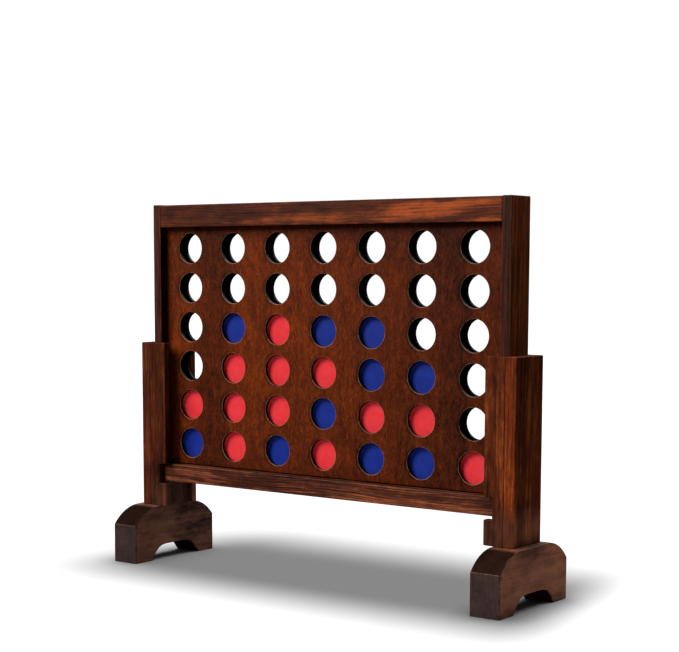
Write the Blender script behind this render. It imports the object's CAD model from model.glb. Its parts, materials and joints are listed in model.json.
"""Giant four in a row: the looks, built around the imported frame.

Every timber, panel and coin is a finely modelled piece that stands for its CAD node: eased arrises,
rounded hole rims, dished coins, arched feet. All materials are node-based. Metres, row frame.
"""

import json
import math

import bpy
import bmesh
import numpy as np
from mathutils import Matrix, Vector, noise
from mathutils.kdtree import KDTree


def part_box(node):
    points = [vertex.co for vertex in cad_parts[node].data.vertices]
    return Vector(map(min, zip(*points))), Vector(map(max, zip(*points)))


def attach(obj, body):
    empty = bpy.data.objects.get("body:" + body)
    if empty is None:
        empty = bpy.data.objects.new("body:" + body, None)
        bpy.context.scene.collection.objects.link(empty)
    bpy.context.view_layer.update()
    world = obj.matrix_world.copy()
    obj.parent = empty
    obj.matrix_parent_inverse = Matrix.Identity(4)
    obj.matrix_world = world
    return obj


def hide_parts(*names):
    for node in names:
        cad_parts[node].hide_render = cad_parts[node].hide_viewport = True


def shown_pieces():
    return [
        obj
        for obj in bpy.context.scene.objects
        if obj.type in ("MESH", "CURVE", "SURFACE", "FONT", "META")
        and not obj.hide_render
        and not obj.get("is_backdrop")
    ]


MM = 0.001

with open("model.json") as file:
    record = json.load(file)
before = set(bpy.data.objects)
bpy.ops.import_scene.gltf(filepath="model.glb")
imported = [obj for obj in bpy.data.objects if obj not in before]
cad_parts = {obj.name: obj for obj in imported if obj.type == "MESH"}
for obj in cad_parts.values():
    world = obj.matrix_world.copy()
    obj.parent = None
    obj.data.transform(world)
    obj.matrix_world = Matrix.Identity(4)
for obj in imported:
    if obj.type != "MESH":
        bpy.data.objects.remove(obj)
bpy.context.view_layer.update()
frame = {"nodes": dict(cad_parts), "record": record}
BODY_OF = {n: b for b, ns in frame["record"]["behaviour"]["bodies"].items() for n in ns}

# Geometry shared with the CAD frame.
COL_PITCH, ROW_PITCH = 80 * MM, 56 * MM
HOLE_R, HOLE_Z0 = 21.3 * MM, 172.9 * MM


# ---------------------------------------------------------------------------
# mesh helpers
# ---------------------------------------------------------------------------
class Shell:
    """Collects quads whose shared corners are merged by position."""

    def __init__(self):
        self.index, self.co, self.edge, self.wall, self.faces = {}, [], [], [], []

    def v(self, p, edge=0.0, wall=0.0):
        key = (round(p[0] * 1e6), round(p[1] * 1e6), round(p[2] * 1e6))
        i = self.index.get(key)
        if i is None:
            i = len(self.co)
            self.index[key] = i
            self.co.append(tuple(p))
            self.edge.append(edge)
            self.wall.append(wall)
        return i

    def f(self, *ids):
        out = []
        for i in ids:
            if i not in out:
                out.append(i)
        if len(out) > 2:
            self.faces.append(out)


def stops(lo, hi, r, seg, sup, step):
    """Cut lines along one axis of a rounded block: the rounding zones, a support line beside each, and even steps between."""
    t = [r * math.tan(math.pi / 4 * k / seg) for k in range(seg + 1)]
    a = [lo + r - v for v in reversed(t)]
    b = [hi - r + v for v in t]
    i0, i1 = lo + r + sup, hi - r - sup
    if i1 - i0 < 0.2 * sup:
        mid = [(lo + hi) / 2]
    else:
        n = max(1, int(round((i1 - i0) / step)))
        mid = [i0 + (i1 - i0) * i / n for i in range(n + 1)]
    return a + mid + b


def block_edge(p, lo, hi, r, sup):
    """How close a point of a rounded block is to its arris: 1 on the crest, 0 out on the flat."""
    s = []
    for k in range(3):
        c0, c1 = lo[k] + r, hi[k] - r
        q = min(max(p[k], c0), c1)
        d = abs(p[k] - q)
        s.append(d if d > 1e-9 else -min(p[k] - c0, c1 - p[k]))
    s.sort(reverse=True)
    if s[1] > 0:
        return 0.35 + 0.65 * min(1.0, s[1] / max(s[0], 1e-9))
    return 0.35 * max(0.0, 1 + s[1] / sup)


def block_shell(lo, hi, r, seg=2, sup=1.6 * MM, step=28 * MM):
    """A block of timber with rounded arrises, all quads."""
    sh = Shell()
    ax = [stops(lo[k], hi[k], r, seg, min(sup, 0.2 * (hi[k] - lo[k])), step) for k in range(3)]

    def place(p):
        q = [min(max(p[k], lo[k] + r), hi[k] - r) for k in range(3)]
        d = Vector([p[k] - q[k] for k in range(3)])
        e = block_edge(p, lo, hi, r, sup)
        n = d.normalized()
        return sh.v(Vector(q) + n * r, e)

    for k in range(3):
        i, j = (k + 1) % 3, (k + 2) % 3
        for side in (0, 1):
            grid = []
            for a in ax[i]:
                row = []
                for b in ax[j]:
                    p = [0, 0, 0]
                    p[k] = hi[k] if side else lo[k]
                    p[i], p[j] = a, b
                    row.append(place(p))
                grid.append(row)
            for a in range(len(grid) - 1):
                for b in range(len(grid[0]) - 1):
                    q = [grid[a][b], grid[a + 1][b], grid[a + 1][b + 1], grid[a][b + 1]]
                    sh.f(*(q if side else q[::-1]))
    return sh


def mesh_from(sh, name):
    me = bpy.data.meshes.new(name)
    me.from_pydata(sh.co, [], sh.faces)
    me.validate()
    me.update()
    return me


GRAIN = {"x": (0, 1, 2), "y": (1, 2, 0), "z": (2, 0, 1)}


def finish_piece(name, me, node, material, grain="z", pith=(0, 0), seed=0, edge=None, wall=None, worn=0.12, sharp=50):
    """Names, marks, shades and hangs a piece on the body of the CAD node it stands for."""
    co = np.zeros(len(me.vertices) * 3)
    me.vertices.foreach_get("co", co)
    co = co.reshape(-1, 3)
    if edge is not None and worn:
        # arrises are not machine-straight: hand sanding and knocks take a little more off here and there
        normals = np.zeros(len(me.vertices) * 3)
        me.vertices.foreach_get("normal", normals)
        normals = normals.reshape(-1, 3)
        for i, e in enumerate(edge):
            if e > 0.3:
                p = Vector(co[i]) * 55 + Vector((seed * 3.1, 0, 0))
                q = Vector(co[i]) * 260 + Vector((0, seed * 1.7, 0))
                k = max(0.0, noise.noise(p) + 0.25 * noise.noise(q) + 0.1)
                co[i] -= normals[i] * (worn * MM * k * (e - 0.3) / 0.7)
        me.vertices.foreach_set("co", co.ravel())
    a, b, c = GRAIN[grain]
    centre = (co.min(0) + co.max(0)) / 2
    gp = np.stack([co[:, a], co[:, b] - centre[b], co[:, c] - centre[c]], 1) / MM
    gp += np.array([seed * 173.0, -pith[0], -pith[1]])
    at = me.attributes.new("gp", "FLOAT_VECTOR", "POINT")
    at.data.foreach_set("vector", gp.astype(np.float32).ravel())
    at = me.attributes.new("edge", "FLOAT", "POINT")
    at.data.foreach_set("value", np.array(edge if edge is not None else np.zeros(len(co)), np.float32))
    if wall is not None:
        at = me.attributes.new("wall", "FLOAT", "POINT")
        at.data.foreach_set("value", np.array(wall, np.float32))
    me.shade_smooth()
    me.set_sharp_from_angle(angle=math.radians(sharp))
    me.materials.append(material)
    ob = bpy.data.objects.new(name, me)
    bpy.context.scene.collection.objects.link(ob)
    w = ob.modifiers.new("even_shading", "WEIGHTED_NORMAL")
    w.keep_sharp = True
    w.weight = 100
    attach(ob, BODY_OF[node])
    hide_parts(node)
    return ob


def bore(me, cutters):
    """Cuts round bores into a mesh. Each cutter is (axis, centre, radius, from, to)."""
    ob = bpy.data.objects.new("tmp_body", me)
    bpy.context.scene.collection.objects.link(ob)
    tmp = []
    for axis, c, r, a, b in cutters:
        bm = bmesh.new()
        bmesh.ops.create_cone(bm, cap_ends=True, segments=40, radius1=r, radius2=r, depth=abs(b - a))
        mid = (a + b) / 2
        if axis == "z":
            m = Matrix.Translation((c[0], c[1], mid))
        else:
            m = Matrix.Translation((mid, c[0], c[1])) @ Matrix.Rotation(math.pi / 2, 4, "Y")
        bmesh.ops.transform(bm, matrix=m, verts=bm.verts)
        cm = bpy.data.meshes.new("tmp_cut")
        bm.to_mesh(cm)
        bm.free()
        co = bpy.data.objects.new("tmp_cut", cm)
        bpy.context.scene.collection.objects.link(co)
        mod = ob.modifiers.new("cut", "BOOLEAN")
        mod.operation, mod.solver, mod.object = "DIFFERENCE", "EXACT", co
        tmp.append(co)
    bpy.context.view_layer.update()
    dg = bpy.context.evaluated_depsgraph_get()
    out = bpy.data.meshes.new_from_object(ob.evaluated_get(dg))
    out.name = me.name
    for o in tmp + [ob]:
        m = o.data
        bpy.data.objects.remove(o)
        bpy.data.meshes.remove(m)
    return out


def carry(points, values, me):
    """Marks from the uncut mesh, found again on the cut one. New corners are inside a bore and get 0."""
    tree = KDTree(len(points))
    for i, p in enumerate(points):
        tree.insert(p, i)
    tree.balance()
    out = []
    for v in me.vertices:
        _, i, d = tree.find(v.co)
        out.append(values[i] if d < 2e-6 else 0.0)
    return out


# ---------------------------------------------------------------------------
# materials
# ---------------------------------------------------------------------------
def srgb(r, g, b):
    def f(c):
        c /= 255
        return c / 12.92 if c <= 0.04045 else ((c + 0.055) / 1.055) ** 2.4
    return (f(r), f(g), f(b), 1.0)


class Tree:
    def __init__(self, name):
        self.mat = bpy.data.materials.new(name)
        self.mat.use_nodes = True
        self.nt = self.mat.node_tree
        self.nt.nodes.clear()

    def n(self, kind, ins=(), **props):
        nd = self.nt.nodes.new("ShaderNode" + kind)
        for k, v in props.items():
            setattr(nd, k, v)
        for key, v in ins:
            if isinstance(v, bpy.types.NodeSocket):
                self.nt.links.new(v, nd.inputs[key])
            else:
                nd.inputs[key].default_value = v
        return nd

    def m(self, op, a, b=0.0, c=None, clamp=False):
        ins = [(0, a), (1, b)] + ([(2, c)] if c is not None else [])
        return self.n("Math", ins, operation=op, use_clamp=clamp).outputs[0]

    def vm(self, op, a, b):
        return self.n("VectorMath", [(0, a), (1, b)], operation=op).outputs[0]

    def noise(self, vec, scale=1.0, detail=2.0, rough=0.5, dist=0.0):
        return self.n("TexNoise", [("Vector", vec), ("Scale", scale), ("Detail", detail), ("Roughness", rough), ("Distortion", dist)])

    def smooth(self, x, a, b, lo=0.0, hi=1.0):
        return self.n("MapRange", [("Value", x), ("From Min", a), ("From Max", b), ("To Min", lo), ("To Max", hi)],
                      interpolation_type="SMOOTHSTEP").outputs[0]

    def mix(self, fac, a, b, blend="MIX"):
        nd = self.n("Mix", [(0, fac), (6, a), (7, b)], data_type="RGBA", blend_type=blend)
        return nd.outputs[2]

    def attr(self, name):
        return self.n("Attribute", attribute_name=name)

    def ramp(self, fac, points):
        nd = self.n("ValToRGB", [("Fac", fac)])
        cr = nd.color_ramp
        while len(cr.elements) > 1:
            cr.elements.remove(cr.elements[-1])
        cr.elements[0].position, cr.elements[0].color = points[0]
        for pos, col in points[1:]:
            e = cr.elements.new(pos)
            e.color = col
        return nd.outputs[0]

    def out(self, shader):
        self.n("OutputMaterial", [("Surface", shader)])
        return self.mat


def wood(name, dark, mid, light, worn, axis, ring=3.4, ring_amt=0.22, streak_amt=1.1, band_amt=0.8, blotch_amt=0.6, mott_amt=0.35,
         rough=0.5, coat=0.0, spec=0.08, wear=0.7, endcol=None, end_at=(0.7, 0.95), arc=None, extra=None, bias=0.0, xgain=None, grey=None):
    """Stained softwood under a thin satin coat. axis is the grain direction, for the end grain."""
    t = Tree(name)
    gp = t.attr("gp").outputs["Vector"]
    edge = t.attr("edge").outputs["Fac"]
    # slow wander of the fibres
    w1 = t.noise(t.vm("MULTIPLY", gp, (0.006, 0.03, 0.03)), detail=2).outputs["Color"]
    off = t.vm("MULTIPLY", t.vm("SUBTRACT", w1, (0.5, 0.5, 0.5)), (0.0, 9.0, 9.0))
    g = t.vm("ADD", gp, off)
    sep = t.n("SeparateXYZ", [(0, g)])
    u, v, w = sep.outputs
    r = t.m("SQRT", t.m("ADD", t.m("MULTIPLY", v, v), t.m("MULTIPLY", w, w)))
    r = t.m("ADD", r, t.m("MULTIPLY", u, 0.012))
    slow = t.noise(t.vm("MULTIPLY", gp, (0.0035, 0.011, 0.011)), detail=1).outputs["Fac"]
    r = t.m("ADD", r, t.m("MULTIPLY", slow, 16.0))
    fr = t.m("FRACT", t.m("DIVIDE", r, ring))
    late = t.m("MULTIPLY", t.m("POWER", fr, 2.2), t.smooth(fr, 1.0, 0.88))
    streak = t.noise(t.vm("MULTIPLY", g, (0.009, 0.50, 0.50)), detail=4, rough=0.68).outputs["Fac"]
    fine = t.noise(t.vm("MULTIPLY", g, (0.045, 2.0, 2.0)), detail=2, rough=0.6).outputs["Fac"]
    band = t.noise(t.vm("MULTIPLY", g, (0.003, 0.08, 0.08)), detail=2).outputs["Fac"]
    blotch = t.noise(t.vm("MULTIPLY", gp, (0.013, 0.03, 0.03)), detail=3, dist=0.6).outputs["Fac"]
    mott = t.noise(t.vm("MULTIPLY", gp, (0.055, 0.16, 0.16)), detail=3, rough=0.6, dist=0.4).outputs["Fac"]
    val = t.m("ADD", 0.5 + bias, t.m("MULTIPLY", t.m("SUBTRACT", late, 0.25), -ring_amt))
    for s, k in ((streak, streak_amt), (band, band_amt), (blotch, blotch_amt), (mott, mott_amt), (fine, 0.3)):
        val = t.m("ADD", val, t.m("MULTIPLY", t.m("SUBTRACT", s, 0.5), k))
    if extra is not None:
        val = t.m("ADD", val, extra(t))
    col = t.ramp(val, [(0.0, dark), (0.5, mid), (1.0, light)])
    if xgain is not None:
        # the wide faces took the stain differently from the edges
        nx = t.n("SeparateXYZ", [(0, t.n("TexCoord").outputs["Normal"])]).outputs[0]
        wide = t.smooth(t.m("ABSOLUTE", nx), 0.6, 0.9)
        col = t.mix(wide, col, t.mix(1.0, col, xgain, "MULTIPLY"))
    if grey is not None:
        gs = t.n("MapRange", [("Value", val), ("From Min", 0.1), ("From Max", 0.9), ("To Min", 0.5), ("To Max", 1.5)]).outputs[0]
        gs = t.n("CombineColor", [(0, gs), (1, gs), (2, gs)]).outputs[0]
        face = t.n("SeparateXYZ", [(0, t.n("TexCoord").outputs["Normal"])]).outputs[0]
        soil = t.mix(t.smooth(t.m("ABSOLUTE", face), 0.6, 0.9), grey[0], grey[1])
        col = t.mix(grey[2](t), col, t.mix(1.0, soil, gs, "MULTIPLY"))
    pores = t.smooth(t.noise(t.vm("MULTIPLY", g, (0.16, 3.0, 3.0)), detail=1).outputs["Fac"], 0.58, 0.70)
    col = t.mix(t.m("MULTIPLY", pores, 0.4), col, dark)
    # end grain drinks the stain
    nrm = t.n("TexCoord").outputs["Normal"]
    ax = {"x": (1, 0, 0), "y": (0, 1, 0), "z": (0, 0, 1)}[axis]
    dot = t.n("VectorMath", [(0, nrm), (1, ax)], operation="DOT_PRODUCT").outputs["Value"]
    dot = t.m("ABSOLUTE", dot)
    eg = t.smooth(dot, *end_at)
    shade = t.n("MapRange", [("Value", val), ("From Min", 0.2), ("From Max", 0.8), ("To Min", 0.60), ("To Max", 1.4)]).outputs[0]
    shade = t.n("CombineColor", [(0, shade), (1, shade), (2, shade)]).outputs[0]
    sheen = 1.0
    if arc is not None:
        turn = t.smooth(dot, *arc[1])
        col = t.mix(turn, col, t.mix(1.0, arc[0], shade, "MULTIPLY"))
        sheen = t.m("SUBTRACT", 1.0, t.m("MULTIPLY", turn, t.m("SUBTRACT", 1.0, t.m("MULTIPLY", eg, 0.6))))
    if endcol is None:
        endcol = t.mix(0.55, mid, dark)
    col = t.mix(t.m("MULTIPLY", eg, 0.92), col, t.mix(1.0, endcol, shade, "MULTIPLY"))
    # thin worn arrises
    en = t.noise(t.vm("MULTIPLY", gp, (0.05, 0.12, 0.12)), detail=3, rough=0.7).outputs["Fac"]
    wr = t.smooth(t.m("ADD", edge, t.m("MULTIPLY", t.m("SUBTRACT", en, 0.5), 1.3)), 0.66, 1.05)
    col = t.mix(t.m("MULTIPLY", wr, wear), col, worn)
    rg = t.m("ADD", rough, t.m("MULTIPLY", t.m("SUBTRACT", streak, 0.5), 0.25))
    rg = t.m("ADD", rg, t.m("MULTIPLY", eg, 0.12))
    h = t.m("ADD", t.m("MULTIPLY", streak, 0.5), t.m("MULTIPLY", fine, 0.3))
    h = t.m("SUBTRACT", h, t.m("MULTIPLY", pores, 0.5))
    h = t.m("ADD", h, t.m("MULTIPLY", late, 0.25))
    bump = t.n("Bump", [("Strength", 0.35), ("Distance", 0.0003), ("Height", h)]).outputs[0]
    cbump = t.n("Bump", [("Strength", 0.12), ("Distance", 0.0003), ("Height", h)]).outputs[0]
    p = t.n("BsdfPrincipled", [("Base Color", col), ("Roughness", rg), ("Normal", bump),
                               ("Specular IOR Level", t.m("MULTIPLY", sheen, spec)), ("Coat Weight", t.m("MULTIPLY", sheen, coat)),
                               ("Coat Roughness", 0.25), ("Coat Normal", cbump)])
    return t.out(p.outputs[0])


def ply(name, dark, mid, light, worn):
    """Rotary-cut veneer panel, dark stain: soft warm figure, short flecks, near-black bores with a pale ply line."""
    t = Tree(name)
    gp = t.attr("gp").outputs["Vector"]        # (up the panel, across, through)
    edge = t.attr("edge").outputs["Fac"]
    wall = t.attr("wall").outputs["Fac"]
    w1 = t.noise(t.vm("MULTIPLY", gp, (0.010, 0.022, 0.0)), detail=3).outputs["Color"]
    off = t.vm("MULTIPLY", t.vm("SUBTRACT", w1, (0.5, 0.5, 0.5)), (24.0, 26.0, 0.0))
    g = t.vm("ADD", gp, off)
    sep = t.n("SeparateXYZ", [(0, g)])
    u, v, w = sep.outputs
    slow = t.noise(t.vm("MULTIPLY", gp, (0.006, 0.018, 0.0)), detail=2).outputs["Fac"]
    phase = t.m("ADD", t.m("MULTIPLY", v, 0.055), t.m("MULTIPLY", slow, 8.0))
    contour = t.m("MULTIPLY", t.m("PINGPONG", phase, 0.5), 2.0)
    fleck = t.noise(t.vm("MULTIPLY", g, (0.14, 0.75, 0.75)), detail=3, rough=0.65).outputs["Fac"]
    dash = t.noise(t.vm("MULTIPLY", gp, (0.35, 1.3, 1.3)), detail=2, rough=0.6).outputs["Fac"]
    blotch = t.noise(t.vm("MULTIPLY", gp, (0.014, 0.020, 0.0)), detail=3, dist=0.6).outputs["Fac"]
    mott = t.noise(t.vm("MULTIPLY", gp, (0.06, 0.10, 0.0)), detail=3, rough=0.6).outputs["Fac"]
    ox, oy, oz = t.n("SeparateXYZ", [(0, t.n("TexCoord").outputs["Object"])]).outputs
    dx = t.m("DIVIDE", t.m("ADD", ox, 0.10), 0.30)
    dz = t.m("DIVIDE", t.m("SUBTRACT", oz, 0.33), 0.24)
    glow = t.smooth(t.m("SQRT", t.m("ADD", t.m("MULTIPLY", dx, dx), t.m("MULTIPLY", dz, dz))), 1.25, 0.1)
    val = t.m("ADD", 0.33, t.m("MULTIPLY", glow, 0.21))
    val = t.m("ADD", val, t.smooth(oz, 0.445, 0.500, 0.0, -0.10))
    val = t.m("ADD", val, t.smooth(t.m("ABSOLUTE", t.m("ADD", ox, 0.20)), 0.045, 0.010, 0.0, -0.20))
    val = t.m("ADD", val, t.smooth(t.m("ABSOLUTE", t.m("SUBTRACT", ox, 0.20)), 0.045, 0.010, 0.0, -0.10))
    val = t.m("ADD", val, t.smooth(ox, -0.235, -0.265, 0.0, 0.09))
    # the stain ran and gathered on one side of each bored hole
    hx = t.m("SUBTRACT", ox, t.m("MULTIPLY", t.m("ROUND", t.m("DIVIDE", ox, COL_PITCH)), COL_PITCH))
    hz = t.m("SUBTRACT", oz, HOLE_Z0)
    hz = t.m("SUBTRACT", hz, t.m("MULTIPLY", t.m("ROUND", t.m("DIVIDE", hz, ROW_PITCH)), ROW_PITCH))
    hd = t.m("SQRT", t.m("ADD", t.m("MULTIPLY", hx, hx), t.m("MULTIPLY", hz, hz)))
    run = t.m("MULTIPLY", t.smooth(hd, 0.0275, 0.0220), t.smooth(hx, -0.004, -0.018))
    val = t.m("ADD", val, t.m("MULTIPLY", run, -0.30))
    for s, k in ((contour, 0.12), (fleck, 1.30), (dash, 0.95), (blotch, 0.55), (mott, 0.55)):
        val = t.m("ADD", val, t.m("MULTIPLY", t.m("SUBTRACT", s, 0.5), k))
    col = t.ramp(val, [(0.0, dark), (0.5, mid), (1.0, light)])
    tint = t.smooth(t.noise(t.vm("MULTIPLY", gp, (0.03, 0.06, 0.0)), detail=2).outputs["Fac"], 0.40, 0.65)
    col = t.mix(t.m("MULTIPLY", tint, 0.35), col, t.mix(1.0, col, (0.95, 1.07, 0.90, 1), "MULTIPLY"))
    # rims of the holes, worn pale in places
    en = t.noise(t.vm("MULTIPLY", gp, (0.08, 0.08, 0.08)), detail=3, rough=0.7).outputs["Fac"]
    wr = t.smooth(t.m("ADD", edge, t.m("MULTIPLY", t.m("SUBTRACT", en, 0.5), 1.0)), 0.60, 1.05)
    col = t.mix(t.m("MULTIPLY", wr, 0.70), col, worn)
    # inside of the bores: near-black stain, one thin pale ply line
    depth = t.m("ABSOLUTE", t.n("SeparateXYZ", [(0, gp)]).outputs[2])
    line = t.smooth(t.m("ABSOLUTE", t.m("SUBTRACT", depth, 0.9)), 0.30, 0.05)
    wn = t.noise(t.vm("MULTIPLY", gp, (0.25, 0.25, 1.0)), detail=3).outputs["Fac"]
    wcol = t.mix(t.m("MULTIPLY", line, t.smooth(wn, 0.45, 0.6)), srgb(11, 7, 6), srgb(74, 50, 38))
    col = t.mix(t.smooth(wall, 0.45, 0.8), col, wcol)
    rg = t.m("ADD", 0.46, t.m("MULTIPLY", t.m("SUBTRACT", fleck, 0.5), 0.25))
    h = t.m("ADD", t.m("MULTIPLY", fleck, 0.6), t.m("MULTIPLY", dash, 0.4))
    bump = t.n("Bump", [("Strength", 0.3), ("Distance", 0.0003), ("Height", h)]).outputs[0]
    p = t.n("BsdfPrincipled", [("Base Color", col), ("Roughness", rg), ("Specular IOR Level", 0.06), ("Normal", bump)])
    return t.out(p.outputs[0])


def plastic(name, base, pale, deep):
    """Matt moulded plastic: faint flow clouding, a fine moulded texture, rims rubbed paler."""
    t = Tree(name)
    gp = t.attr("gp").outputs["Vector"]
    edge = t.attr("edge").outputs["Fac"]
    cloud = t.noise(t.vm("MULTIPLY", gp, (0.07, 0.07, 0.07)), detail=3, dist=0.8).outputs["Fac"]
    col = t.mix(t.smooth(cloud, 0.3, 0.7), base, pale)
    sc = t.noise(t.vm("MULTIPLY", gp, (0.9, 3.0, 0.12)), detail=2, rough=0.6).outputs["Fac"]
    col = t.mix(t.m("MULTIPLY", t.smooth(sc, 0.66, 0.78), 0.25), col, pale)
    rub = t.smooth(t.m("ADD", edge, t.m("MULTIPLY", t.m("SUBTRACT", cloud, 0.5), 0.8)), 0.45, 1.0)
    col = t.mix(t.m("MULTIPLY", rub, 0.45), col, pale)
    col = t.mix(t.m("MULTIPLY", t.smooth(cloud, 0.62, 0.75), 0.12), col, deep)
    grain = t.noise(t.vm("MULTIPLY", gp, (3.2, 3.2, 3.2)), detail=2).outputs["Fac"]
    bump = t.n("Bump", [("Strength", 0.12), ("Distance", 0.0002), ("Height", grain)]).outputs[0]
    rg = t.m("ADD", 0.40, t.m("MULTIPLY", cloud, 0.14))
    p = t.n("BsdfPrincipled", [("Base Color", col), ("Roughness", rg), ("Specular IOR Level", 0.22), ("Normal", bump),
                               ("Subsurface Weight", 0.06), ("Subsurface Radius", (0.002, 0.0008, 0.0008)), ("Subsurface Scale", 1.0)])
    return t.out(p.outputs[0])


def zinc(name):
    t = Tree(name)
    co = t.n("TexCoord").outputs["Object"]
    cl = t.noise(co, scale=240, detail=4, rough=0.65).outputs["Fac"]
    sp = t.noise(co, scale=900, detail=2).outputs["Fac"]
    col = t.mix(t.smooth(cl, 0.3, 0.7), srgb(150, 152, 156), srgb(196, 198, 200))
    col = t.mix(t.m("MULTIPLY", t.smooth(sp, 0.6, 0.75), 0.4), col, srgb(96, 92, 84))
    rg = t.m("ADD", 0.28, t.m("MULTIPLY", cl, 0.25))
    bump = t.n("Bump", [("Strength", 0.15), ("Distance", 0.0001), ("Height", sp)]).outputs[0]
    p = t.n("BsdfPrincipled", [("Base Color", col), ("Metallic", 1.0), ("Roughness", rg), ("Normal", bump)])
    return t.out(p.outputs[0])


def bare(name):
    """Unstained beech dowel."""
    t = Tree(name)
    co = t.n("TexCoord").outputs["Object"]
    fib = t.noise(t.vm("MULTIPLY", co, (60, 1900, 1900)), detail=4, rough=0.6).outputs["Fac"]
    col = t.ramp(fib, [(0.25, srgb(150, 112, 72)), (0.6, srgb(196, 156, 108)), (0.8, srgb(214, 180, 134))])
    bump = t.n("Bump", [("Strength", 0.3), ("Distance", 0.0002), ("Height", fib)]).outputs[0]
    p = t.n("BsdfPrincipled", [("Base Color", col), ("Roughness", 0.6), ("Normal", bump)])
    return t.out(p.outputs[0])


# Stain colours, dark to light.
D = srgb(26, 9, 5)
WORN = srgb(168, 118, 84)


def rail_marks(t):
    """The pale sapwood patch on the right half of the front top rail, brightest along its lower edge."""
    gp = t.attr("gp").outputs["Vector"]
    co = t.n("TexCoord").outputs["Object"]
    wv = t.noise(t.vm("MULTIPLY", co, (14, 14, 90)), detail=3).outputs["Color"]
    co = t.vm("ADD", co, t.vm("MULTIPLY", t.vm("SUBTRACT", wv, (0.5, 0.5, 0.5)), (0.05, 0, 0.010)))
    s = t.n("SeparateXYZ", [(0, co)])
    x, z = s.outputs[0], s.outputs[2]
    total = None
    # (centre x, centre z, half length, half height, strength) in metres
    for cx, cz, lx, lz, k in ((0.175, 0.4985, 0.055, 0.011, 0.42), (0.235, 0.5075, 0.030, 0.0045, 0.30), (0.262, 0.4860, 0.022, 0.003, 0.30),
                              (0.115, 0.4880, 0.03, 0.004, 0.2), (0.02, 0.4920, 0.12, 0.008, 0.10), (-0.20, 0.500, 0.10, 0.02, -0.26)):
        dx = t.m("DIVIDE", t.m("SUBTRACT", x, cx), lx)
        dz = t.m("DIVIDE", t.m("SUBTRACT", z, cz), lz)
        d = t.m("SQRT", t.m("ADD", t.m("MULTIPLY", dx, dx), t.m("MULTIPLY", dz, dz)))
        g = t.smooth(d, 1.35, 0.6, 0.0, k)
        total = g if total is None else t.m("ADD", total, g)
    return total


def low_grime(t):
    """The bottom of the leg, below the notch, is darker."""
    z = t.n("SeparateXYZ", [(0, t.n("TexCoord").outputs["Object"])]).outputs[2]
    return t.smooth(z, 0.150, 0.125, 0.0, -0.16)


def seam_grime(t):
    """Stain gathered beside the release bar's end, on top of the darker bottom of the leg."""
    x, y, z = t.n("SeparateXYZ", [(0, t.n("TexCoord").outputs["Object"])]).outputs
    near = t.m("MULTIPLY", t.smooth(t.m("ABSOLUTE", t.m("SUBTRACT", z, 0.128)), 0.045, 0.012), t.smooth(t.m("ABSOLUTE", x), 0.2985, 0.292))
    return t.m("ADD", t.m("MULTIPLY", near, -0.22), low_grime(t))


def foot_right_marks(t):
    """Darker under the leg and at the crown."""
    x, y, z = t.n("SeparateXYZ", [(0, t.n("TexCoord").outputs["Object"])]).outputs
    return t.m("MULTIPLY", t.smooth(z, 0.055, 0.078), t.smooth(t.m("ABSOLUTE", y), 0.060, 0.02, 0.0, -0.25))


def foot_left_marks(t):
    """The left foot's stain deepens towards the back."""
    x, y, z = t.n("SeparateXYZ", [(0, t.n("TexCoord").outputs["Object"])]).outputs
    return t.m("ADD", t.smooth(y, -0.045, 0.03, 0.0, -0.30), t.smooth(z, 0.05, 0.08, 0.0, -0.10))


def low_soil(t):
    """Splash and dirt on the lowest part of the legs."""
    x, y, z = t.n("SeparateXYZ", [(0, t.n("TexCoord").outputs["Object"])]).outputs
    n = t.noise(t.vm("MULTIPLY", t.attr("gp").outputs["Vector"], (0.02, 0.06, 0.06)), detail=2).outputs["Fac"]
    return t.m("MULTIPLY", t.smooth(t.m("ADD", z, t.m("MULTIPLY", t.m("SUBTRACT", n, 0.5), 0.05)), 0.135, 0.098), 0.75)


def bar_tone(t):
    """The bar is darker towards the middle and paler at its right end."""
    x, y, z = t.n("SeparateXYZ", [(0, t.n("TexCoord").outputs["Object"])]).outputs
    return t.m("ADD", t.m("ADD", t.smooth(x, 0.02, 0.14, 0.0, 0.10), t.smooth(x, 0.235, 0.275, 0.0, -0.22)), t.smooth(t.m("ABSOLUTE", t.m("ADD", x, 0.03)), 0.12, 0.03, 0.0, -0.10))


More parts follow.
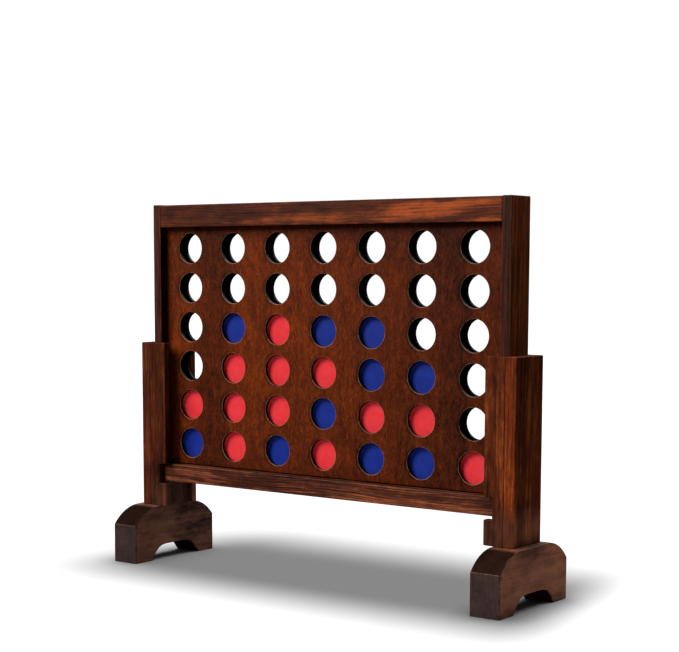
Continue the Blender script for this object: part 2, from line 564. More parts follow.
SOIL = (srgb(78, 46, 33), srgb(134, 78, 54), low_soil)
MAT = {
    "leg_right": wood("stained_pine_leg_right", D, srgb(86, 36, 15), srgb(150, 72, 28), WORN, "z", ring=4.0, streak_amt=1.2, mott_amt=0.8, wear=0.12,
                      spec=0.05, extra=seam_grime, grey=SOIL),
    "leg_left": wood("stained_pine_leg_left", D, srgb(68, 28, 13), srgb(118, 54, 22), WORN, "z", ring=4.0, streak_amt=1.2, mott_amt=0.8, wear=0.12,
                     spec=0.05, extra=seam_grime, grey=SOIL),
    "board_right": wood("stained_pine_board_right", D, srgb(110, 44, 14), srgb(184, 90, 31), srgb(196, 112, 56), "z", ring=4.6, streak_amt=1.2,
                        mott_amt=0.7, wear=0.5, spec=0.05, xgain=(0.60, 0.70, 0.95, 1), extra=low_grime, grey=SOIL),
    "board_left": wood("stained_pine_board_left", D, srgb(72, 29, 14), srgb(124, 58, 26), srgb(150, 84, 48), "z", ring=4.6, streak_amt=1.4,
                       wear=0.3, spec=0.05, xgain=(0.62, 0.66, 0.75, 1), extra=low_grime),
    "leg_core": wood("stained_pine_packing", D, srgb(80, 52, 42), srgb(114, 74, 58), WORN, "z", ring=4.6, wear=0.1),
    "stile_right": wood("stained_pine_stile_right", D, srgb(52, 24, 14), srgb(92, 44, 24), WORN, "z", ring=3.2, streak_amt=2.4, wear=0.3,
                        spec=0.08, xgain=(3.8, 3.1, 1.0, 1)),
    "stile_left": wood("stained_pine_stile_left", D, srgb(52, 23, 15), srgb(90, 42, 26), WORN, "z", ring=3.2, streak_amt=2.2, wear=0.2,
                       spec=0.08, xgain=(0.4, 0.4, 0.45, 1)),
    "rail": wood("stained_pine_rail", D, srgb(80, 35, 18), srgb(162, 74, 31), srgb(140, 88, 62), "x", ring=3.6, blotch_amt=0.5, mott_amt=0.6,
                 streak_amt=0.85, wear=0.5, extra=rail_marks, spec=0.08),
    "bar": wood("stained_pine_bar", D, srgb(74, 34, 22), srgb(150, 82, 50), srgb(150, 104, 76), "x", ring=3.0, ring_amt=0.40, streak_amt=2.0,
                mott_amt=0.5, wear=0.35, spec=0.08, extra=bar_tone),
    "foot_right": wood("stained_pine_foot_right", srgb(40, 20, 12), srgb(140, 84, 58), srgb(178, 114, 74), srgb(150, 112, 90), "y", ring=7.0,
                       ring_amt=0.12, streak_amt=0.6, band_amt=0.4, blotch_amt=0.6, mott_amt=0.6, wear=0.30, endcol=srgb(54, 39, 36),
                       end_at=(0.93, 0.985), arc=(srgb(38, 22, 18), (0.05, 0.25)), spec=0.22, coat=0.10, extra=foot_right_marks),
    "foot_left": wood("stained_pine_foot_left", srgb(36, 19, 13), srgb(140, 89, 66), srgb(172, 112, 76), srgb(140, 104, 86), "y", ring=7.0,
                      ring_amt=0.12, streak_amt=0.5, band_amt=0.4, blotch_amt=0.6, mott_amt=0.6, wear=0.22, endcol=srgb(48, 34, 33),
                      end_at=(0.93, 0.985), arc=(srgb(34, 20, 16), (0.05, 0.25)), spec=0.22, coat=0.10, extra=foot_left_marks),
    "inner": wood("stained_inner_timber", D, srgb(60, 34, 22), srgb(96, 58, 38), WORN, "z", ring=3.4),
    "panel": ply("stained_ply", srgb(30, 10, 4), srgb(84, 31, 7), srgb(134, 54, 9), srgb(176, 130, 102)),
    "red": plastic("red_coin_plastic", srgb(214, 42, 50), srgb(218, 50, 58), srgb(204, 36, 46)),
    "blue": plastic("blue_coin_plastic", srgb(7, 33, 122), srgb(10, 38, 130), srgb(6, 28, 108)),
    "zinc": zinc("zinc_plated_steel"),
    "bare": bare("bare_beech"),
}


# ---------------------------------------------------------------------------
# timbers
# ---------------------------------------------------------------------------
def turned(poly, radius, radii, per=3, sup=1.5 * MM):
    """A closed outline (clockwise in x, z) with each corner turned by a small arc and a support point either side."""
    out, marks = [], []
    n = len(poly)
    for i in range(n):
        a, b, c = (Vector(poly[(i + j) % n]) for j in (-1, 0, 1))
        u, w = (a - b).normalized(), (c - b).normalized()
        ang = u.angle(w)
        d = min((radii[i] or radius) / math.tan(ang / 2), 0.3 * (a - b).length, 0.3 * (c - b).length)
        rr = d * math.tan(ang / 2)
        centre = b + (u + w).normalized() * (rr / math.sin(ang / 2))
        p, q = b + u * d - centre, b + w * d - centre
        sweep = math.atan2(p.x * q.y - p.y * q.x, p.dot(q))
        convex = (b - a).x * (c - b).y - (b - a).y * (c - b).x < 0
        if (a - b).length > 3 * (d + sup):
            out.append(tuple(b + u * (d + sup)))
            marks.append(0.0)
        for k in range(per + 1):
            t = sweep * k / per
            out.append(tuple(centre + Vector((p.x * math.cos(t) - p.y * math.sin(t), p.x * math.sin(t) + p.y * math.cos(t)))))
            marks.append((0.35 if k in (0, per) else 1.0) if convex else 0.0)
        if (c - b).length > 3 * (d + sup):
            out.append(tuple(b + w * (d + sup)))
            marks.append(0.0)
    return out, marks


def prism_y(outline, marks, y0, y1, r, sup=1.5 * MM):
    """An outline in (x, z), clockwise, run along Y with its two rims rounded by r."""
    sh = Shell()
    n = len(outline)

    def inset(d):
        out = []
        for i in range(n):
            a, b, c = (Vector(outline[(i + j) % n]) for j in (-1, 0, 1))
            e1, e2 = (b - a).normalized(), (c - b).normalized()
            n1, n2 = Vector((e1.y, -e1.x)), Vector((e2.y, -e2.x))
            m = (n1 + n2).normalized()
            out.append(b + m * (d / max(0.4, m.dot(n1))))
        return out

    sup = min(sup, 0.25 * (y1 - y0))
    rows = []
    for deg in (90, 67.5, 45, 22.5, 0):     # 90 lies on the end face, 0 on the side
        a = math.radians(deg)
        e = 0.0 if deg == 90 else 0.35 + 0.65 * math.sin(2 * a)
        rows.append((r * (1 - math.cos(a)), y0 + r * (1 - math.sin(a)), e))
    rows += [(0.0, y0 + r + sup, 0.0), (0.0, y1 - r - sup, 0.0)]
    rows += [(d, y1 - (y - y0), m) for d, y, m in rows[:5][::-1]]
    rings = []
    for k, (d, y, e) in enumerate(rows):
        flat = k in (0, len(rows) - 1)
        rings.append([sh.v((p.x, y, p.y), 0.0 if flat else max(e, mk)) for p, mk in zip(inset(d), marks)])
    for a, b in zip(rings, rings[1:]):
        for i in range(n):
            j = (i + 1) % n
            sh.f(a[i], a[j], b[j], b[i])
    sh.faces.append(rings[0][::-1])
    sh.faces.append(rings[-1][:])
    return sh


def timber(node, material, grain, r=1.1, pith=(120, 60), seed=0, bores=(), seg=2, worn=0.12):
    lo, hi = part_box(node)
    lo, hi = list(lo), list(hi)
    sh = block_shell(lo, hi, r * MM, seg=seg)
    me = mesh_from(sh, node + "_fine")
    edge = sh.edge
    if bores:
        pts = [Vector(c) for c in sh.co]
        me = bore(me, bores)
        edge = carry(pts, edge, me)
    return finish_piece(node + "_fine", me, node, MAT[material], grain, pith, seed, edge, worn=worn)


for s, sx in (("left", -1), ("right", 1)):
    k = 1 if s == "left" else 11
    bolt_x = sx * 292.5 * MM
    timber(f"{s}_leg_outer_board", f"board_{s}", "z", r=1.3, pith=(sx * 90, 30), seed=k)
    timber(f"{s}_leg_back_cheek", f"leg_{s}", "z", r=1.1, pith=(10, 140), seed=k + 1)
    # front cheek, notched from its inner edge so that the release bar can come out
    node = f"{s}_leg_front_cheek"
    lo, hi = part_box(node)
    inner, outer = (lo.x, hi.x) if sx > 0 else (hi.x, lo.x)
    step = sx * 283.5 * MM
    nz0, nz1 = 112.9 * MM, 141.3 * MM
    poly = [(outer, lo.z), (outer, hi.z), (inner, hi.z), (inner, nz1), (step, nz1), (step, nz0), (inner, nz0), (inner, lo.z)]
    if sx > 0:
        poly = poly[::-1]
    pts, marks = turned(poly, 1.6 * MM, [0.4 * MM if i in ((2, 3) if sx > 0 else (4, 5)) else None for i in range(8)])
    sh = prism_y(pts, marks, lo.y, hi.y, 1.1 * MM)
    me = mesh_from(sh, node + "_fine")
    finish_piece(node + "_fine", me, node, MAT[f"leg_{s}"], "z", (-14, -120), k + 2, sh.edge)
    blo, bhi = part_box(f"{s}_leg_core_block")
    timber(f"{s}_leg_core_block", "leg_core", "z", r=0.8, pith=(50, 40), seed=k + 4,
           bores=[("z", (bolt_x, f * 14 * MM), 3.3 * MM, blo.z - 3 * MM, 105 * MM) for f in (-1, 1)])
    slo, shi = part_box(f"{s}_stile")
    x_in = shi.x if sx < 0 else slo.x
    timber(f"{s}_stile", f"stile_{s}", "z", r=1.2, pith=(sx * -60, 90), seed=k + 5,
           bores=[("x", (f * 16.5 * MM, 498.75 * MM), 3.2 * MM, x_in - sx * 3 * MM, x_in + sx * 8.5 * MM) for f in (-1, 1)])
    timber(f"{s}_end_spacer", "inner", "z", r=0.5, pith=(40, 50), seed=k + 6)

for f, fy in (("front", -1), ("back", 1)):
    k = 31 if f == "front" else 35
    rlo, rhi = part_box(f"{f}_top_rail")
    ends = [("x", (fy * 16.5 * MM, 498.75 * MM), 3.2 * MM, rhi.x - 12.6 * MM, rhi.x + 3 * MM),
            ("x", (fy * 16.5 * MM, 498.75 * MM), 3.2 * MM, rlo.x - 3 * MM, rlo.x + 12.6 * MM)]
    timber(f"{f}_top_rail", "rail", "x", r=1.1, pith=(fy * 40, -90), seed=k, bores=ends)
timber("release_bar", "bar", "x", r=1.5, pith=(-30, 70), seed=41)


# ---------------------------------------------------------------------------
# column dividers: a pointed batten between the panels
# ---------------------------------------------------------------------------
for i in range(1, 7):
    node = f"divider_{i}"
    lo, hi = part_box(node)
    xc, nose = (lo.x + hi.x) / 2, 8 * MM
    poly = [(lo.x, lo.z), (hi.x, lo.z), (hi.x, hi.z - nose), (xc + 2 * MM, hi.z), (xc - 2 * MM, hi.z), (lo.x, hi.z - nose)]
    pts, marks = turned(poly[::-1], 0.8 * MM, [None] * 6)
    sh = prism_y(pts, marks, lo.y, hi.y, 0.4 * MM)
    me = mesh_from(sh, node + "_fine")
    finish_piece(node + "_fine", me, node, MAT["inner"], "z", (35, 60), 50 + i, sh.edge, worn=0)


# ---------------------------------------------------------------------------
# panels with 42 rounded holes
# ---------------------------------------------------------------------------
def panel(node, seed):
    lo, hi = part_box(node)
    lo.z -= 0.9 * MM                        # closes the slit over the release bar
    front = lo.y < 0
    outer, inner = (lo.y, hi.y) if front else (hi.y, lo.y)
    sgn = -1.0 if front else 1.0            # outward direction of the show face
    sh = Shell()
    seg = 72
    ang = [2 * math.pi * (i + 0.0) / seg for i in range(seg)]
    rr, ri = 0.9 * MM, 0.35 * MM

    def cell_border(a):
        c, s = math.cos(a), math.sin(a)
        hx, hz = COL_PITCH / 2, ROW_PITCH / 2
        k = min(hx / abs(c) if abs(c) > 1e-9 else 1e9, hz / abs(s) if abs(s) > 1e-9 else 1e9)
        x, z = c * k, s * k
        if abs(abs(x) - hx) < 0.15 * MM and abs(abs(z) - hz) < 0.15 * MM:
            x, z = math.copysign(hx, x), math.copysign(hz, z)
        return x, z

    border = [cell_border(a) for a in ang]

    def rings_for(side):
        """(radius or blend, y, edge, wall) from the bore outwards over one face."""
        face, rad, dirn = (outer, rr, sgn) if side else (inner, ri, -sgn)
        out = []
        steps = 4 if side else 2
        for k in range(steps + 1):
            a = math.pi / 2 * k / steps
            out.append(("r", HOLE_R + rad * (1 - math.cos(a)), face - dirn * rad * (1 - math.sin(a)),
                        0.45 + 0.55 * math.sin(2 * a) if side else 0.0, 1 - k / steps if side else 1))
        hid = 0 if side else 1
        out.append(("r", HOLE_R + rad + 1.2 * MM, face, 0.12 if side else 0, hid))
        out.append(("r", HOLE_R + rad + 3.2 * MM, face, 0, hid))
        out.append(("b", 0.5, face, 0, hid))
        out.append(("b", 1.0, face, 0, hid))
        return out

    for side in (1, 0):
        spec = rings_for(side)
        for c in range(7):
            for rw in range(6):
                cx, cz = (c - 3) * COL_PITCH, HOLE_Z0 + rw * ROW_PITCH
                prev = None
                last_r = None
                for kind, val, y, e, wl in spec:
                    ring = []
                    for i, a in enumerate(ang):
                        if kind == "r":
                            x, z = val * math.cos(a), val * math.sin(a)
                            last_r = val
                        else:
                            bx, bz = border[i]
                            x0, z0 = last_r * math.cos(a), last_r * math.sin(a)
                            x, z = x0 + (bx - x0) * val, z0 + (bz - z0) * val
                        ring.append(sh.v((cx + x, y, cz + z), e, wl))
                    if prev:
                        for i in range(seg):
                            j = (i + 1) % seg
                            q = (prev[i], prev[j], ring[j], ring[i])
                            sh.f(*(q if (side == 1) == front else q[::-1]))
                    prev = ring
    # bore walls
    for c in range(7):
        for rw in range(6):
            cx, cz = (c - 3) * COL_PITCH, HOLE_Z0 + rw * ROW_PITCH
            ys = [outer - sgn * rr, (outer + inner) / 2, inner + sgn * ri]
            prev = None
            for y in ys:
                ring = [sh.v((cx + HOLE_R * math.cos(a), y, cz + HOLE_R * math.sin(a)), 0.2, 1) for a in ang]
                if prev:
                    for i in range(seg):
                        j = (i + 1) % seg
                        q = (prev[i], ring[i], ring[j], prev[j])
                        sh.f(*(q if front else q[::-1]))
                prev = ring
    # plain border round the field of holes
    bx = sorted({round(x, 9) for x, z in border if abs(abs(z) - ROW_PITCH / 2) < 1e-7})
    bz = sorted({round(z, 9) for x, z in border if abs(abs(x) - COL_PITCH / 2) < 1e-7})
    xs, zs = [], []
    for c in range(7):
        for x in bx:
            xs.append((c - 3) * COL_PITCH + x)
    for rw in range(6):
        for z in bz:
            zs.append(HOLE_Z0 + rw * ROW_PITCH + z)

    def uniq(v):
        out = []
        for q in sorted(v):
            if not out or q - out[-1] > 1e-7:
                out.append(q)
        return out

    xs, zs = uniq(xs), uniq(zs)
    ch = 0.5 * MM
    left = [lo.x, lo.x + ch, lo.x + 2.5 * MM, xs[0]]
    right = [xs[-1], hi.x - 2.5 * MM, hi.x - ch, hi.x]
    bottom = [lo.z, lo.z + ch, zs[0]]
    top = [zs[-1], zs[-1] + 11 * MM, zs[-1] + 22 * MM, hi.z - 2.5 * MM, hi.z - ch, hi.z]
    allx = left[:-1] + xs + right[1:]

    def at(x, z, side):
        d = 0.0
        if x < lo.x + 1e-7 or x > hi.x - 1e-7 or z < lo.z + 1e-7 or z > hi.z - 1e-7:
            d = ch
        face, dirn = (outer, sgn) if side else (inner, -sgn)
        e = 1.0 if d else (0.5 if (x < lo.x + ch + 1e-7 or x > hi.x - ch - 1e-7 or z < lo.z + ch + 1e-7 or z > hi.z - ch - 1e-7) else 0.0)
        return sh.v((x, face - dirn * d, z), e, 0 if side else 1)

    for side in (1, 0):
        for gx, gz in ((allx, bottom), (allx, top), (left, zs), (right, zs)):
            for i in range(len(gx) - 1):
                for j in range(len(gz) - 1):
                    q = (at(gx[i], gz[j], side), at(gx[i + 1], gz[j], side), at(gx[i + 1], gz[j + 1], side), at(gx[i], gz[j + 1], side))
                    sh.f(*(q if (side == 1) == front else q[::-1]))
    allz = bottom[:-1] + zs + top[1:]
    loop = [(x, allz[0]) for x in allx] + [(allx[-1], z) for z in allz[1:]] + [(x, allz[-1]) for x in allx[::-1][1:]] + [(allx[0], z) for z in allz[::-1][1:-1]]
    a = [at(x, z, 1) for x, z in loop]
    b = [at(x, z, 0) for x, z in loop]
    for i in range(len(loop)):
        j = (i + 1) % len(loop)
        q = (a[i], b[i], b[j], a[j])
        sh.f(*(q if front else q[::-1]))
    me = mesh_from(sh, node + "_fine")
    centre_y = (lo.y + hi.y) / 2
    return finish_piece(node + "_fine", me, node, MAT["panel"], "z", (0, 0), seed, sh.edge, sh.wall, worn=0.10)


panel("front_panel", 61)
panel("back_panel", 67)


# ---------------------------------------------------------------------------
# feet
# ---------------------------------------------------------------------------
def foot(side, sx, seed):
    node = f"{side}_foot"
    lo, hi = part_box(node)
    half, top = (hi.y - lo.y) / 2, hi.z
    yc = (hi.y + lo.y) / 2
    shoulder, arc_r, arc_y = 55 * MM, 64 * MM, 32.7 * MM
    zc = top - arc_r
    a0 = math.atan2(shoulder - zc, half - arc_y)
    # outer outline from heel to heel, inner outline along the arch
    arch = [(50, 0), (46.2, 4.6), (42.2, 9.6), (38, 14), (33, 17.7), (27, 20.1), (18, 21.3)]
    arch = [(y * MM, z * MM) for y, z in arch]

    def spread(poly, n):
        """n equal lengths along a polyline."""
        P = [Vector(p) for p in poly]
        d = [0.0]
        for a, b in zip(P, P[1:]):
            d.append(d[-1] + (b - a).length)
        out = []
        for i in range(n + 1):
            t = d[-1] * i / n
            k = max(0, min(len(d) - 2, int(np.searchsorted(d, t)) - 1))
            s = (t - d[k]) / max(1e-12, d[k + 1] - d[k])
            out.append(tuple(P[k].lerp(P[k + 1], min(1, max(0, s)))))
        return out

    def smooth_curve(pts, n):
        """Catmull-Rom through the points."""
        P = [Vector(p) for p in pts]
        P = [P[0] * 2 - P[1]] + P + [P[-1] + Vector((-1, 0)) * 4 * MM]
        out = []
        for i in range(1, len(P) - 2):
            for k in range(n):
                t = k / n
                p0, p1, p2, p3 = P[i - 1], P[i], P[i + 1], P[i + 2]
                q = 0.5 * ((2 * p1) + (p2 - p0) * t + (2 * p0 - 5 * p1 + 4 * p2 - p3) * t * t + (3 * p1 - p0 - 3 * p2 + p3) * t ** 3)
                out.append((q.x, q.y))
        out.append(tuple(P[-2]))
        return out

    def on_arc(a):
        return (arc_y + arc_r * math.cos(a), zc + arc_r * math.sin(a))

    da = 1 * MM / arc_r
    heel = spread([(half, 0), (half, shoulder - 1.8 * MM)], 11)
    crest = [(half, shoulder - 0.5 * MM), (half - 0.12 * MM, shoulder + 0.02 * MM), on_arc(a0 + 0.55 * da)]
    arc = [on_arc(a0 + 1.9 * da + (math.pi / 2 - a0 - 1.9 * da) * i / 16) for i in range(17)]
    outer_r = heel + crest + arc
    crest_at = (len(heel), len(heel) + 1, len(heel) + 2)
    flat = spread([arc[-1], (-arc_y, top)], 12)[1:-1]
    outer = outer_r + flat + [(-y, z) for y, z in outer_r[::-1]]          # right heel, over the top, left heel
    n = len(outer) - 1
    inner_half = smooth_curve(arch, 4)
    inner = spread(inner_half + [(-y, z) for y, z in inner_half[::-1]], n)
    m = 8
    right_pad = [(inner[0][0] + (outer[0][0] - inner[0][0]) * i / m, 0.0) for i in range(m + 1)]
    left_pad = [(-y, z) for y, z in right_pad]
    # closed loop: right pad out, over the top, left pad in, back along the arch
    loop = right_pad[:-1] + outer[:-1] + left_pad[::-1][:-1] + inner[::-1][:-1]
    N = len(loop)
    L = [Vector(p) for p in loop]
    corners = {0, m, m + n, m + n + m}

    # outward normals of the loop (counter-clockwise seen from +X: y right, z up)
    nor = []
    for i in range(N):
        e1, e2 = (L[i] - L[i - 1]).normalized(), (L[(i + 1) % N] - L[i]).normalized()
        n1, n2 = Vector((e1.y, -e1.x)), Vector((e2.y, -e2.x))
        mm = (n1 + n2).normalized()
        nor.append(mm / max(0.6, mm.dot(n1)))

    r = 1.5 * MM
    sh = Shell()
    seg = 4
    rings = []

    def ring(x, d, e):
        out = []
        for i in range(N):
            p = L[i] - nor[i] * d
            # never below the floor
            out.append(sh.v((x, yc + p.x, max(p.y, 0.0 if d == 0 else p.y)), e))
        return out

    X = []
    for k in range(seg + 1):
        a = math.pi / 2 * (1 - k / seg)
        X.append((lo.x + r * (1 - math.sin(a)), r * (1 - math.cos(a)), 0.45 + 0.55 * math.sin(2 * a)))
    steps = 7
    for k in range(steps + 1):
        x = lo.x + r + 1.6 * MM + (hi.x - lo.x - 2 * r - 3.2 * MM) * k / steps
        X.append((x, 0.0, 0.0))
    for k in range(seg + 1):
        a = math.pi / 2 * (k / seg)
        X.append((hi.x - r * (1 - math.sin(a)), r * (1 - math.cos(a)), 0.45 + 0.55 * math.sin(2 * a)))
    for x, d, e in X:
        rings.append(ring(x, d, e))
    for a, b in zip(rings, rings[1:]):
        for i in range(N):
            j = (i + 1) % N
            sh.f(a[i], b[i], b[j], a[j])

    # side faces: a support loop, then a grid from the arch to the outline
    def cap(x, ids, flip):
        sup = [sh.v((x, yc + (L[i] - nor[i] * (r + 1.6 * MM)).x, (L[i] - nor[i] * (r + 1.6 * MM)).y), 0) for i in range(N)]
        for i in range(N):
            j = (i + 1) % N
            q = (ids[i], ids[j], sup[j], sup[i])
            sh.f(*(q[::-1] if flip else q))
        co = [Vector(sh.co[k]) for k in sup]
        # boundary sides of the patch: s along the arch (0..n), t from arch to outline (0..m)
        def B(i):      # inner edge, right to left
            return sup[(N - i) % N] if i else sup[0]
        def T(i):      # outer edge, right to left
            return sup[m + i]
        def Rr(j):     # right pad, inner to outer
            return sup[j]
        def Ll(j):     # left pad, inner to outer
            return sup[m + n + m - j]
        grid = [[None] * (m + 1) for _ in range(n + 1)]
        for i in range(n + 1):
            grid[i][0], grid[i][m] = B(i), T(i)
        for j in range(m + 1):
            grid[0][j], grid[n][j] = Rr(j), Ll(j)
        V = lambda k: Vector(sh.co[k])
        for i in range(1, n):
            s = i / n
            for j in range(1, m):
                t = j / m
                p = (V(grid[i][0]) * (1 - t) + V(grid[i][m]) * t + V(grid[0][j]) * (1 - s) + V(grid[n][j]) * s
                     - (V(grid[0][0]) * (1 - s) * (1 - t) + V(grid[n][0]) * s * (1 - t) + V(grid[0][m]) * (1 - s) * t + V(grid[n][m]) * s * t))
                grid[i][j] = sh.v(p, 0)
        for i in range(n):
            for j in range(m):
                q = (grid[i][j], grid[i][j + 1], grid[i + 1][j + 1], grid[i + 1][j])
                sh.f(*(q[::-1] if flip else q))

    cap(lo.x, rings[0], True)
    cap(hi.x, rings[-1], False)
    # crisp but eased shoulder line across the front and back
    edge = list(sh.edge)
    for k in crest_at:
        for i in (m + k, m + n - k):
            for r_ in rings:
                edge[r_[i]] = 1.0
    me = mesh_from(sh, node + "_fine")
    pts = [Vector(c) for c in sh.co]
    bx = sx * 292.5 * MM
    cuts = []
    for y in (-14 * MM, 14 * MM):
        cuts.append(("z", (bx, y), 6.1 * MM, 8 * MM, 31 * MM))
        cuts.append(("z", (bx, y), 3.3 * MM, 28 * MM, top + 4 * MM))
    me = bore(me, cuts)
    edge = carry(pts, edge, me)
    return finish_piece(node + "_fine", me, node, MAT[f"foot_{side}"], "y", (10, sx * 160), seed, edge, worn=0.15, sharp=28)


foot("left", -1, 71)
foot("right", 1, 77)


# ---------------------------------------------------------------------------
# coins
# ---------------------------------------------------------------------------
def lathe_y(profile, seg, centre, phase):
    """Turns (radius, y, edge) about the Y axis through centre. The profile starts and ends on the axis."""
    sh = Shell()
    rings = []
    for r, y, e in profile:
        if r < 1e-9:
            rings.append([sh.v((centre[0], centre[1] + y, centre[2]), e)])
        else:
            rings.append([sh.v((centre[0] + r * math.cos(2 * math.pi * i / seg + phase), centre[1] + y,
                                centre[2] + r * math.sin(2 * math.pi * i / seg + phase)), e) for i in range(seg)])
    for a, b in zip(rings, rings[1:]):
        for i in range(seg):
            j = (i + 1) % seg
            if len(a) == 1:
                sh.f(a[0], b[i], b[j])
            elif len(b) == 1:
                sh.f(a[i], b[0], a[j])
            else:
                sh.f(a[i], b[i], b[j], a[j])
    return sh


def coin_profile(R, h, dish_r, dish_d):
    """Half section from the middle of one face to the middle of the other, in (radius, y, edge)."""
    side = []
    side += [(0.0, -h + dish_d, 0), (6 * MM, -h + dish_d, 0), (13 * MM, -h + dish_d, 0), (dish_r - 2.6 * MM, -h + dish_d, 0)]
    # fillet into the sloping wall of the dish
    side += [(dish_r - 1.7 * MM, -h + dish_d - 0.05 * MM, 0), (dish_r - 1.15 * MM, -h + dish_d - 0.28 * MM, 0), (dish_r - 0.55 * MM, -h + 0.42 * MM, 0.2)]
    side += [(dish_r - 0.15 * MM, -h + 0.14 * MM, 0.6), (dish_r + 0.45 * MM, -h + 0.02 * MM, 0.8), (dish_r + 1.2 * MM, -h, 0.5), (R - 2.6 * MM, -h, 0.4)]
    ro = 1.5 * MM
    for k in range(5):
        a = math.pi / 2 * k / 4
        side.append((R - ro + ro * math.sin(a), -h + ro * (1 - math.cos(a)), 0.5 + 0.5 * math.sin(2 * a)))
    side.append((R, -h * 0.4, 0.1))
    return side + [(r, -y, e) for r, y, e in side[::-1]]


coin_nodes = sorted(n for n in frame["nodes"] if n.startswith("coin_"))
for k, node in enumerate(coin_nodes):
    lo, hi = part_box(node)
    c = (lo + hi) / 2
    R, h = (hi.z - lo.z) / 2, (hi.y - lo.y) / 2
    prof = coin_profile(R, h, 22.9 * MM, 2.3 * MM)
    sh = lathe_y(prof, 80, c, 0.37 * k)
    me = mesh_from(sh, node + "_fine")
    red = node.endswith("_red")
    finish_piece(node + "_fine", me, node, MAT["red" if red else "blue"],
                 "y", (0, 0), 81 + k, sh.edge, worn=0)


# ---------------------------------------------------------------------------
# bolts: button head with a hex socket
# ---------------------------------------------------------------------------
def bolt(node, seed):
    lo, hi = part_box(node)
    cx, cy = (lo.x + hi.x) / 2, (lo.y + hi.y) / 2
    z0, z1 = lo.z, hi.z
    sh = Shell()
    seg = 36

    def circ(r, z, e=0.0):
        return [sh.v((cx + r * math.cos(2 * math.pi * i / seg), cy + r * math.sin(2 * math.pi * i / seg), z), e) for i in range(seg)]

    def hexa(af, z, e=0.0):
        out = []
        for i in range(seg):
            a = 2 * math.pi * i / seg
            b = (a + math.pi / 6) % (math.pi / 3) - math.pi / 6
            r = af / 2 / math.cos(b)
            out.append(sh.v((cx + r * math.cos(a), cy + r * math.sin(a), z), e))
        return out

    rings = [hexa(4 * MM, z0 + 2.4 * MM), hexa(4 * MM, z0 + 0.15 * MM, 0.6), hexa(4.4 * MM, z0, 0.8), circ(3.4 * MM, z0, 0.3),
             circ(4.6 * MM, z0 + 0.25 * MM, 0.4), circ(5.3 * MM, z0 + 1.0 * MM, 0.7), circ(5.5 * MM, z0 + 1.8 * MM, 0.5),
             circ(5.5 * MM, z0 + 4.7 * MM, 0.5), circ(5.2 * MM, z0 + 5.0 * MM, 0.5), circ(3.0 * MM, z0 + 5.0 * MM, 0),
             circ(3.0 * MM, z1 - 2 * MM, 0), circ(1.8 * MM, z1, 0)]
    sh.faces.append(rings[0][:])
    for a, b in zip(rings, rings[1:]):
        for i in range(seg):
            j = (i + 1) % seg
            sh.f(a[i], a[j], b[j], b[i])
    sh.faces.append(rings[-1][:])
    me = mesh_from(sh, node + "_fine")
    bm = bmesh.new()
    bm.from_mesh(me)
    bmesh.ops.recalc_face_normals(bm, faces=bm.faces)
    bm.to_mesh(me)
    bm.free()
    finish_piece(node + "_fine", me, node, MAT["zinc"], "z", (0, 0), seed, sh.edge, worn=0, sharp=35)


for s in ("left", "right"):
    for e in ("front", "back"):
        bolt(f"{s}_foot_{e}_bolt", 5)
for n in frame["nodes"]:
    if n.endswith("_dowel"):
        ob = frame["nodes"][n]
        ob.data.materials.clear()
        ob.data.materials.append(MAT["bare"])


# ---------------------------------------------------------------------------
# floor, light, camera
# ---------------------------------------------------------------------------
def make_floor():
    me = bpy.data.meshes.new("floor")
    s = 9.0
    me.from_pydata([(-s, -s, 0), (s, -s, 0), (s, s, 0), (-s, s, 0)], [], [(0, 1, 2, 3)])
    ob = bpy.data.objects.new("floor", me)
    bpy.context.scene.collection.objects.link(ob)
    ob.location.z = -0.0003
    t = Tree("studio_floor")
    co = t.n("TexCoord").outputs["Object"]
    x, y, _ = t.n("SeparateXYZ", [(0, co)]).outputs
    # a soft grey pool on the paper under the board, between the feet
    gy = t.m("MULTIPLY", t.smooth(y, -0.255, -0.050), t.smooth(y, 0.370, 0.085))
    xr = t.m("ADD", x, t.m("MULTIPLY", y, 0.20))
    gx = t.m("MULTIPLY", t.smooth(x, -0.475, -0.235), t.smooth(xr, 0.425, 0.315))
    pool = t.m("SUBTRACT", 1.0, t.m("MULTIPLY", t.m("MULTIPLY", gx, gy), 0.78))
    # what the paper returns to the timber falls away a hand's breadth from the object, as on a flagged set
    ax = t.m("MAXIMUM", t.m("SUBTRACT", t.m("ABSOLUTE", x), 0.33), 0.0)
    ay = t.m("MAXIMUM", t.m("SUBTRACT", t.m("ABSOLUTE", y), 0.09), 0.0)
    d = t.m("SQRT", t.m("ADD", t.m("MULTIPLY", ax, ax), t.m("MULTIPLY", ay, ay)))
    back = t.m("MULTIPLY", t.smooth(d, 0.36, 0.06, 0.03, 0.85), pool)
    path = t.n("LightPath")
    cam, glossy = path.outputs["Is Camera Ray"], path.outputs["Is Glossy Ray"]
    level = t.m("ADD", t.m("MULTIPLY", cam, t.m("MULTIPLY", pool, 0.80)), t.m("MULTIPLY", t.m("SUBTRACT", 1.0, cam), t.m("MULTIPLY", back, t.m("SUBTRACT", 1.0, t.m("MULTIPLY", glossy, 0.93)))))
    col = t.n("CombineColor", [(0, level), (1, level), (2, level)]).outputs[0]
    ob.data.materials.append(t.out(t.n("BsdfDiffuse", [("Color", col)]).outputs[0]))
    ob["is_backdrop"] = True
    return ob


floor = make_floor()

world = bpy.data.worlds.new("studio")
bpy.context.scene.world = world
world.use_nodes = True
nt = world.node_tree
nt.nodes.clear()


def wn(kind, ins=(), **props):
    nd = nt.nodes.new("ShaderNode" + kind)
    for k, v in props.items():
        setattr(nd, k, v)
    for key, v in ins:
        if isinstance(v, bpy.types.NodeSocket):
            nt.links.new(v, nd.inputs[key])
        else:
            nd.inputs[key].default_value = v
    return nd


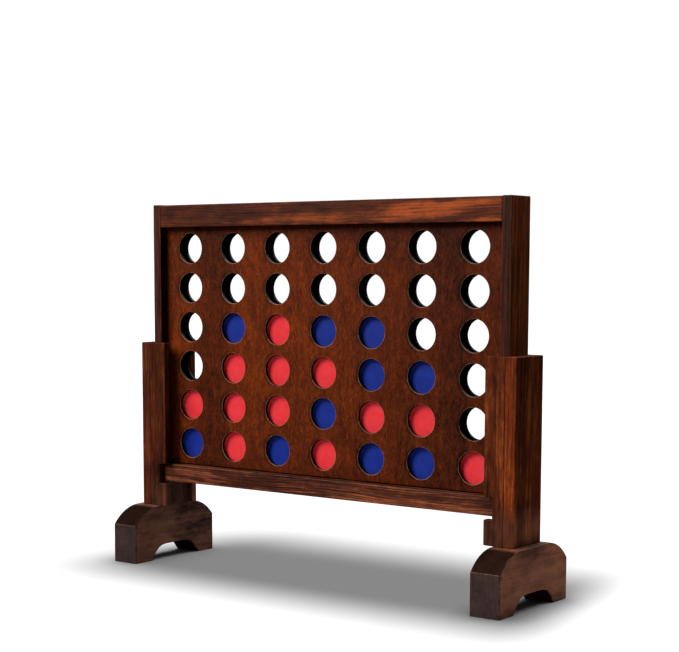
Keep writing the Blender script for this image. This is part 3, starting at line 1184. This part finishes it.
lp = wn("LightPath")
level = wn("Math", [(0, lp.outputs["Is Glossy Ray"]), (1, -0.09), (2, 0.12)], operation="MULTIPLY_ADD")
amb = wn("Background", [("Color", (0.90, 0.93, 1.0, 1)), ("Strength", level.outputs[0])])
cam_bg = wn("Background", [("Color", (1, 1, 1, 1)), ("Strength", 1.05)])
mixs = wn("MixShader", [(0, lp.outputs["Is Camera Ray"]), (1, amb.outputs[0]), (2, cam_bg.outputs[0])])
wn("OutputWorld", [("Surface", mixs.outputs[0])])


def area(name, loc, target, size, size_y, power, colour=(1, 1, 1)):
    li = bpy.data.lights.new(name, "AREA")
    li.shape = "RECTANGLE"
    li.size, li.size_y, li.energy, li.color = size, size_y, power, colour
    ob = bpy.data.objects.new(name, li)
    bpy.context.scene.collection.objects.link(ob)
    ob.location = loc
    ob.rotation_euler = (Vector(target) - Vector(loc)).to_track_quat("-Z", "Y").to_euler()
    return ob


pieces = bpy.data.collections.new("object_pieces")
low = bpy.data.collections.new("low_pieces")
paper = bpy.data.collections.new("paper")
paper.objects.link(floor)
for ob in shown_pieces():
    pieces.objects.link(ob)
    if "foot" in ob.name:
        low.objects.link(ob)


def only_object(light):
    """This lamp is flagged off the floor."""
    light.light_linking.receiver_collection = pieces
    return light


key_from = Vector((-0.68, -1.0, 0.88)).normalized() * 4.0 + Vector((0, 0, 0.28))
only_object(area("key", key_from, (0, 0, 0.28), 2.1, 2.1, 225, (1.0, 0.985, 0.945)))
only_object(area("front_fill", (-0.4, -3.2, 0.9), (0, 0, 0.25), 2.4, 1.4, 9, (1.0, 0.985, 0.97))).visible_glossy = False
only_object(area("top", (0.0, 1.1, 1.9), (0, 0.0, 0.1), 2.4, 0.8, 45, (0.90, 0.94, 1.0)))
only_object(area("back_fill", (-0.9, 1.9, 1.2), (0, 0, 0.25), 1.4, 1.0, 14, (0.96, 0.98, 1.0))).visible_glossy = False
wash = bpy.data.lights.new("paper_wash", "SUN")
wash.energy, wash.angle = 4.3, math.radians(70)
wash_ob = bpy.data.objects.new("paper_wash", wash)
bpy.context.scene.collection.objects.link(wash_ob)
wash_ob.light_linking.receiver_collection = paper
wash_ob.light_linking.blocker_collection = low

# camera: station and lens, the frame shifted up on its sensor
F_PX, SHIFT = 1597.27, (450.0 - 326.0) / 679.0
yaw, pitch, roll = math.radians(36.909), math.radians(6.514), math.radians(0.133)
fwd = Vector((-math.sin(yaw) * math.cos(pitch), math.cos(yaw) * math.cos(pitch), -math.sin(pitch)))
right = Vector((math.cos(yaw), math.sin(yaw), 0))
up = right.cross(fwd)
r2 = right * math.cos(roll) + up * math.sin(roll)
u2 = -right * math.sin(roll) + up * math.cos(roll)
loc = Vector((0.01646 * right.x, 0.01646 * right.y, 0.17835)) - fwd * 2.18377
cam_data = bpy.data.cameras.new("camera")
cam = bpy.data.objects.new("camera", cam_data)
bpy.context.scene.collection.objects.link(cam)
cam_data.sensor_fit = "HORIZONTAL"
cam_data.sensor_width = 36.0
cam_data.lens = F_PX / 679.0 * 36.0
cam_data.clip_start, cam_data.clip_end = 0.05, 50
cam.matrix_world = Matrix(((r2.x, u2.x, -fwd.x, loc.x), (r2.y, u2.y, -fwd.y, loc.y), (r2.z, u2.z, -fwd.z, loc.z), (0, 0, 0, 1)))
# the shift belongs to this station only, so it fades as soon as the camera is moved to another view
drv = cam_data.driver_add("shift_y").driver
drv.type = "SCRIPTED"
var = drv.variables.new()
var.name = "x"
var.type = "TRANSFORMS"
var.targets[0].id = cam
var.targets[0].transform_type = "LOC_X"
var.targets[0].transform_space = "WORLD_SPACE"
drv.expression = f"{SHIFT:.6f} * max(0, 1 - 50 * abs(x - {loc.x:.6f}))"
bpy.context.scene.camera = cam
bpy.context.scene.view_settings.view_transform = "Standard"
bpy.context.scene.view_settings.look = "None"
bpy.context.scene.view_settings.exposure = 0.0
bpy.context.scene.view_settings.gamma = 1.0
